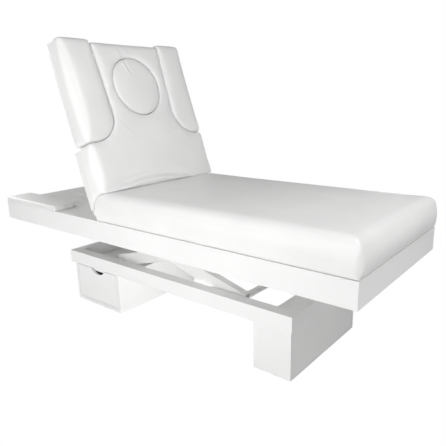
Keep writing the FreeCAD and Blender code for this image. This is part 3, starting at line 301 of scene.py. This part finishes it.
def points_of(item):
    places = np.empty(len(item.data.vertices) * 3)
    item.data.vertices.foreach_get("co", places)
    return places.reshape(-1, 3)


def set_points(item, places):
    item.data.vertices.foreach_set("co", places.ravel())
    item.data.update()


def remesh(item, voxel):
    modifier = item.modifiers.new("remesh", "REMESH")
    modifier.mode = "VOXEL"
    modifier.voxel_size = voxel
    modifier.adaptivity = 0
    apply_modifiers(item)


def relax(item, places, rounds, shares):
    """Draws each point towards the middle of its neighbours, by its share along each axis."""
    ends = np.empty(len(item.data.edges) * 2, dtype=np.int32)
    item.data.edges.foreach_get("vertices", ends)
    first = ends[0::2]
    second = ends[1::2]
    count = len(places)
    degree = np.bincount(first, minlength=count) + np.bincount(second, minlength=count)
    for _ in range(rounds):
        total = np.empty_like(places)
        for axis in range(3):
            total[:, axis] = np.bincount(first, places[second, axis], count)
            total[:, axis] += np.bincount(second, places[first, axis], count)
        places = places + (total / degree[:, None] - places) * shares / 2
    return places


def inflate(item):
    """Swells the mesh as a cover of cloth over foam, by simulation."""
    scene = bpy.context.scene
    modifier = item.modifiers.new("cloth", "CLOTH")
    settings = modifier.settings
    settings.use_pressure = True
    settings.uniform_pressure_force = cloth_pressure
    settings.quality = 4
    settings.mass = cloth_mass
    settings.tension_stiffness = cloth_stiffness
    settings.compression_stiffness = cloth_stiffness
    settings.shear_stiffness = cloth_stiffness
    settings.bending_stiffness = cloth_bending
    settings.effector_weights.gravity = 0
    modifier.collision_settings.use_self_collision = False
    modifier.point_cache.frame_start = 1
    modifier.point_cache.frame_end = cloth_frames
    for moment in range(1, cloth_frames + 1):
        scene.frame_set(moment)
        bpy.context.view_layer.update()
    apply_modifiers(item)
    scene.frame_set(1)


def limit_moves(before, after, cap):
    """Keeps each point within cap of where it was, and shortens long moves more than short ones."""
    moves = after - before
    lengths = np.linalg.norm(moves, axis=1)
    return before + moves * (cap / (cap + lengths))[:, None]


def ramp(values, low, high):
    """Rises from 0 at low to 1 at high."""
    return np.clip((values - low) / (high - low), 0.0, 1.0)


def bell(distance, width):
    """Falls from 1 in the middle towards 0 on both sides."""
    return np.exp(-(distance / width) ** 2)


def crease(places, start, end, width, height):
    """The rise of a face along a line between two places in its plane. It fades at both ends."""
    start = np.array(start)
    run = np.array(end) - start
    length = np.linalg.norm(run)
    offset = places[:, :2] - start
    along = offset @ run / length ** 2
    across = (offset[:, 0] * run[1] - offset[:, 1] * run[0]) / length
    fade = np.clip(4 * along * (1 - along), 0, 1)
    return height * fade * bell(across, width)


def to_lying(places):
    """Places measured from the hinge along the backrest's own axes."""
    return (places - hinge) @ turn


def from_lying(places):
    return places @ turn.T + hinge


def unmoved(places):
    return places


class Cushion:
    """A soft piece made on its CAD solid: remeshed, rounded, swollen as cloth and folded.

    Points up to the height of the base stay, and those more than base_reach above it are free.
    Rounds soften all its edges and pillow_rounds its face alone, and the corners are places in
    its plan that are rounded too. The cap limits its swelling, and side_swell is the share of it
    that goes sideways away from its outer sides.
    """

    voxel = 0.005
    base = 0.0
    base_reach = 0.03
    rounds = 3
    pillow_rounds = 0
    side_swell = 1.0
    corners = ()
    into = staticmethod(unmoved)
    out = staticmethod(unmoved)

    def freedom(self, places):
        """The share of a move that each point may make."""
        return ramp(places[:, 2], self.base, self.base + self.base_reach)[:, None]

    def round_corners(self, item, places):
        for x, y in self.corners:
            distance = np.hypot(places[:, 0] - x, np.abs(places[:, 1]) - y)
            near = ramp(distance, corner_reach, corner_core)[:, None]
            places = relax(item, places, corner_rounds, near * level)
        return places

    def swell(self, item, places, free):
        inflate(item)
        moves = limit_moves(places, points_of(item), self.cap) - places
        outer = ramp(np.abs(places[:, 1]), half_width - outer_band, half_width - outer_rim)
        sideways = self.side_swell + (1 - self.side_swell) * outer
        places = places + moves * free * (sideways[:, None] * level + upright)
        return relax(item, places, settle_rounds, free)

    def details(self, places):
        """The places with folds, creases and crisper edges worked in."""
        return places

    def build(self, name, source, body):
        item = copy_mesh(name, source)
        set_points(item, self.into(points_of(item)))
        remesh(item, self.voxel)
        places = points_of(item)
        free = self.freedom(places)
        places = relax(item, places, self.rounds, free)
        places = relax(item, places, self.pillow_rounds, free * upright)
        places = self.round_corners(item, places)
        set_points(item, places)
        places = self.swell(item, places, free)
        set_points(item, self.out(self.details(places)))
        for face in item.data.polygons:
            face.use_smooth = True
        item.data.materials.append(materials["leatherette"])
        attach(item, body)
        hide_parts(source)


class LyingCushion(Cushion):
    """A soft piece on the backrest, shaped along the backrest's own axes."""

    into = staticmethod(to_lying)
    out = staticmethod(from_lying)
    rounds = 5
    pillow_rounds = 14
    side_swell = 0.3

    def lift_face(self, places, rise):
        """Works a rise into the face alone. It fades in between two heights near the face."""
        face = ramp(places[:, 2], self.fade_start, self.fade_end)
        return places + np.outer(rise * face, upright)


def square_edges(places, side, height, radius, power):
    """Makes the rounded edges along both sides of a piece squarer, more so with a higher power.

    They join the sides, at side from the middle, with the top at a height, or with the bottom
    where the radius is negative.
    """
    reach = abs(radius)
    out = (np.abs(places[:, 1]) - (side - reach)) / reach
    rise = (places[:, 2] - (height - radius)) / radius
    inside = (out > 0) & (rise > 0)
    out = np.maximum(out, tiny)
    rise = np.maximum(rise, tiny)
    round_length = np.hypot(out, rise)
    square_length = (out ** power + rise ** power) ** (1 / power)
    # The push fades away from the edge's arc
    push = 1 + (round_length / square_length - 1) * np.clip(round_length, 0, 1) ** 4
    pushed_y = np.sign(places[:, 1]) * (side - reach + out * reach * push)
    pushed_z = height - radius + rise * radius * push
    made = places.copy()
    made[:, 1] = np.where(inside, pushed_y, places[:, 1])
    made[:, 2] = np.where(inside, pushed_z, places[:, 2])
    return made


class Mattress(Cushion):
    voxel = 0.0065
    base = soft_base
    base_reach = 0.02
    rounds = 2
    cap = 0.005
    top_radius = 0.036
    top_power = 3.0
    bottom_radius = 0.009
    bottom_inset = 0.003
    bottom_power = 8.0

    def details(self, places):
        side = np.abs(places[:, 1]).max()
        top = places[:, 2].max()
        places = square_edges(places, side, top, self.top_radius, self.top_power)
        inset = side - self.bottom_inset
        return square_edges(places, inset, board_top, -self.bottom_radius, self.bottom_power)


class ArmPad(Cushion):
    voxel = 0.004
    base = soft_base
    base_reach = 0.01
    rounds = 2
    cap = 0.0003


class Backrest(LyingCushion):
    cap = 0.005
    corners = ((-0.8, 0.212), (-0.318, 0.383))
    fade_start = face_height - 0.03
    fade_end = face_height - 0.01
    # The arc of the cover's fold over its lower edge
    fold_x = -0.131
    fold_y = -0.07
    fold_bend = 0.5
    fold_reach = 0.33
    # The fold's roll and the valley over it, as rise, place below the arc and width
    waves = ((0.018, 0.026, 0.018), (-0.012, -0.002, 0.013))
    # Folds from the shoulders' hollows to the middle, as start, end, width and rise
    folds = (
        ((-0.36, 0.27), (-0.3, 0.02), 0.014, 0.0018),
        ((-0.325, 0.2), (-0.285, -0.1), 0.02, -0.0016),
        ((-0.42, -0.2), (-0.33, -0.12), 0.008, 0.0012),
    )
    # Puckers from the face hole outwards, as angle and length
    puckers = ((75, 0.07), (96, 0.05), (113, 0.06), (150, 0.06), (15, 0.05), (-12, 0.06), (-60, 0.05))
    pucker_start = 0.002
    pucker_width = 0.006
    pucker_rise = 0.0014

    def lower_fold(self, places):
        aside = places[:, 1] - self.fold_y
        below = places[:, 0] - (self.fold_x + self.fold_bend * aside ** 2)
        strength = np.clip(1 - (aside / self.fold_reach) ** 2, 0, 1)
        return strength * sum(rise * bell(below - place, width) for rise, place, width in self.waves)

    def details(self, places):
        rise = self.lower_fold(places)
        for fold in self.folds:
            rise += crease(places, *fold)
        for angle, length in self.puckers:
            way = np.array([-math.sin(math.radians(angle)), math.cos(math.radians(angle))])
            start = plug_centre + way * (plug_radius + self.pucker_start)
            rise += crease(places, start, start + way * length, self.pucker_width, self.pucker_rise)
        return self.lift_face(places, rise)


class SideCushion(LyingCushion):
    base = 0.004
    cap = 0.005
    corners = ((-0.81, 0.38), (-0.81, 0.213), (-0.32, 0.38))


class FacePlug(LyingCushion):
    base = 0.03
    cap = 0.003
    pillow_rounds = 10
    fade_start = face_height - 0.02
    fade_end = face_height
    # The crease's two sides, as start, end, width and rise
    ridge = ((-0.725, -0.062), (-0.625, -0.03), 0.007, 0.003)
    hollow = ((-0.71, -0.046), (-0.635, -0.02), 0.008, -0.0022)

    def details(self, places):
        return self.lift_face(places, crease(places, *self.ridge) + crease(places, *self.hollow))


Mattress().build("mattress_cover", "mattress", "upper_frame")
Backrest().build("backrest_cover", "backrest_cushion", "backrest")
FacePlug().build("face_plug_cover", "face_plug_cushion", "face_plug")
for label in ("left", "right"):
    SideCushion().build(f"armrest_{label}_cover", f"armrest_{label}_cushion", f"armrest_{label}")
    ArmPad().build(f"arm_pad_{label}_cover", f"arm_pad_{label}", "upper_frame")


# Stage, light and camera

def rectangle_object(name, width, depth, place):
    work = bmesh.new()
    corners = [(-0.5, -0.5), (0.5, -0.5), (0.5, 0.5), (-0.5, 0.5)]
    work.faces.new([work.verts.new((x * width, y * depth, 0)) for x, y in corners])
    mesh = bpy.data.meshes.new(name)
    work.to_mesh(mesh)
    work.free()
    item = bpy.data.objects.new(name, mesh)
    item.location = place
    bpy.context.scene.collection.objects.link(item)
    return item


floor_size = 30.0
floor = rectangle_object("floor", floor_size, floor_size, (0, 0, 0))
floor_material, _, floor_surface, _ = start_material("floor")
floor_surface.inputs["Base Color"].default_value = (0.95, 0.95, 0.95, 1)
floor_surface.inputs["Roughness"].default_value = 0.9
floor.data.materials.append(floor_material)
floor.visible_camera = False


def area_light(name, place, target, size, power):
    data = bpy.data.lights.new(name, "AREA")
    data.shape = "DISK"
    data.size = size
    data.energy = power
    light = bpy.data.objects.new(name, data)
    direction = Vector(target) - Vector(place)
    light.location = place
    light.rotation_euler = direction.to_track_quat("-Z", "Y").to_euler()
    light.visible_camera = False
    bpy.context.scene.collection.objects.link(light)


# Soft boxes as name, place, target, size and power
middle = (0, 0, 0.55)
lamps = (
    ("near_key", (-0.2, -5.0, 1.1), middle, 2.6, 29),
    ("near_head", (-1.0, -2.5, 1.3), middle, 1.4, 13.5),
    ("near_low", (1.2, -3.0, 0.35), (-0.3, 0, 0.2), 1.1, 21),
    ("near_close", (0.4, -1.7, 1.0), middle, 0.8, 4.6),
    ("foot_top", (1.5, -0.2, 2.2), middle, 0.8, 18.5),
    ("foot_slant", (3.0, -1.0, 2.6), (0.6, 0, 0.3), 0.7, 20),
    ("foot_far", (2.4, 0.4, 1.1), middle, 0.8, 4.4),
    ("head", (-3.0, 0, 1.6), middle, 1.4, 36),
    ("under_bed", (0.45, -0.1, 0.12), (-0.3, 0, 0.1), 0.2, 2.0),
    ("far_low", (-0.4, 4.2, 0.4), (0, 0, 0.3), 0.8, 22),
)
for lamp in lamps:
    area_light(*lamp)

world = bpy.data.worlds.new("world")
bpy.context.scene.world = world
world.use_nodes = True
world_tree = world.node_tree
world_tree.nodes.clear()
# The background is white to the camera, weaker in reflections and faint as a light
sky_light = 0.1
sky_mirrored = 0.3
rays = node(world_tree, "ShaderNodeLightPath").outputs
mirrored = arithmetic(world_tree, "MAXIMUM", rays["Is Glossy Ray"], rays["Is Transmission Ray"])
strength = span(world_tree, mirrored, 0, 1, sky_light, sky_mirrored)
strength = arithmetic(world_tree, "MAXIMUM", rays["Is Camera Ray"], strength)
sky = node(world_tree, "ShaderNodeBackground", {"Color": (1, 1, 1, 1), "Strength": strength})
world_output = node(world_tree, "ShaderNodeOutputWorld")
world_tree.links.new(sky.outputs[0], world_output.inputs[0])

# Fitted to the straight edges of the bed in the photograph
camera_place = Vector((1.5755, -1.670, 1.052))
camera_yaw = math.radians(39.275)
camera_pitch = math.radians(14.809)
camera_roll = math.radians(-1.198)
# The focal length over the photograph's width, both in pixels
focal_share = 478.815 / 446
sensor_width = 36.0
view_reach = 60


def add_camera():
    data = bpy.data.cameras.new("camera")
    data.sensor_width = sensor_width
    data.lens = sensor_width * focal_share
    data.clip_end = view_reach
    camera = bpy.data.objects.new("camera", data)
    forward = Vector((-math.sin(camera_yaw) * math.cos(camera_pitch),
                      math.cos(camera_yaw) * math.cos(camera_pitch), -math.sin(camera_pitch)))
    aside = Vector((math.cos(camera_yaw), math.sin(camera_yaw), 0))
    above = aside.cross(forward)
    rolled_aside = aside * math.cos(camera_roll) + above * math.sin(camera_roll)
    rolled_above = above * math.cos(camera_roll) - aside * math.sin(camera_roll)
    axes = Matrix((rolled_aside, rolled_above, -forward)).transposed().to_4x4()
    camera.matrix_world = Matrix.Translation(camera_place) @ axes
    bpy.context.scene.collection.objects.link(camera)
    bpy.context.scene.camera = camera


add_camera()
scene = bpy.context.scene
scene.view_settings.view_transform = "Standard"
scene.view_settings.look = "None"
